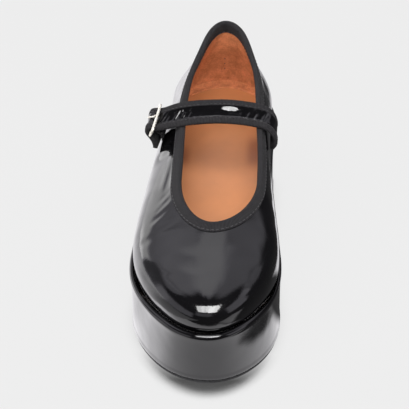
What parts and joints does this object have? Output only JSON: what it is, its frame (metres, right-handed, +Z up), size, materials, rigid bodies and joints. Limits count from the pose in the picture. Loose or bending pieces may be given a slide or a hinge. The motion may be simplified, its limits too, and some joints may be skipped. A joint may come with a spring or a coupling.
{
  "type": "platform ballet flat",
  "caption": "Right platform ballet flat with a round toe, low-cut throat, buckled instep strap and a thick wrapped platform sole.",
  "frame": {"origin": "centre of the box's footprint, on the floor under the sole", "axes": "+X towards the medial (inner) side of the foot, +Y from the toe to the heel, +Z up"},
  "size_m": [0.0923, 0.25, 0.1109],
  "materials": {
    "patent": "high gloss black patent",
    "strap": "black patent with woven edge binding",
    "sock": "smooth tan leather",
    "outsole": "matt black rubber",
    "metal": "polished silver"
  },
  "bodies": {
    "root": {"outsole": "outsole", "platform": "patent", "insole": "sock", "upper": "patent", "strap": "strap", "buckle_frame": "metal", "buckle_pin": "metal", "buckle_tab": "strap"}
  },
  "joints": []
}
